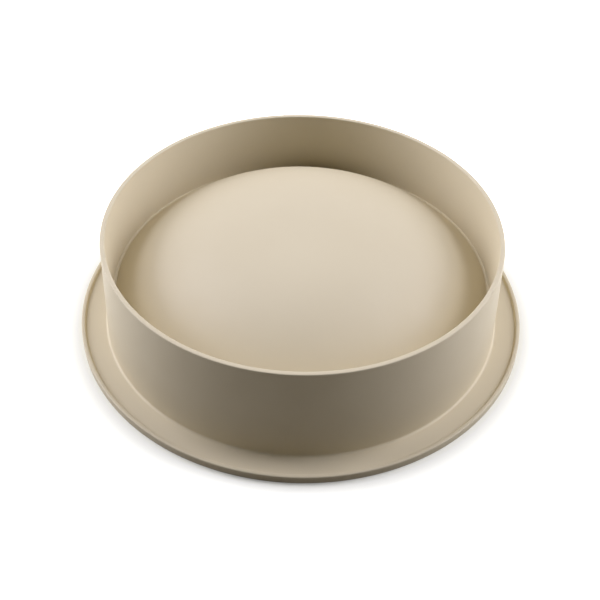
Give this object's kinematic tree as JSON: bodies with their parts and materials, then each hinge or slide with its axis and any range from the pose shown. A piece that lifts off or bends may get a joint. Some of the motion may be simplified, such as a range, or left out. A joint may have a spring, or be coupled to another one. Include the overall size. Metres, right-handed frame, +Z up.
{
  "type": "silicone cake mould",
  "caption": "Round silicone cake mould: drop-shaped domed cavity inside a tall standing skirt, with a flat flange and raised edge bead round the mouth.",
  "frame": {"origin": "on the mould's axis, in the plane of the flange's flat face, on which it lies upside down", "axes": "+Z up along the mould's axis, from the cavity's mouth to the rim that it stands on in use; -Y towards the picture's camera"},
  "size_m": [0.2094, 0.2094, 0.051],
  "materials": {
    "silicone": "satin beige moulded silicone"
  },
  "bodies": {
    "root": {"flange": "silicone", "flange_edge_bead": "silicone", "cavity_side_wall": "silicone", "cavity_shoulder": "silicone", "standing_skirt": "silicone", "cavity_dome": "silicone"}
  },
  "joints": []
}
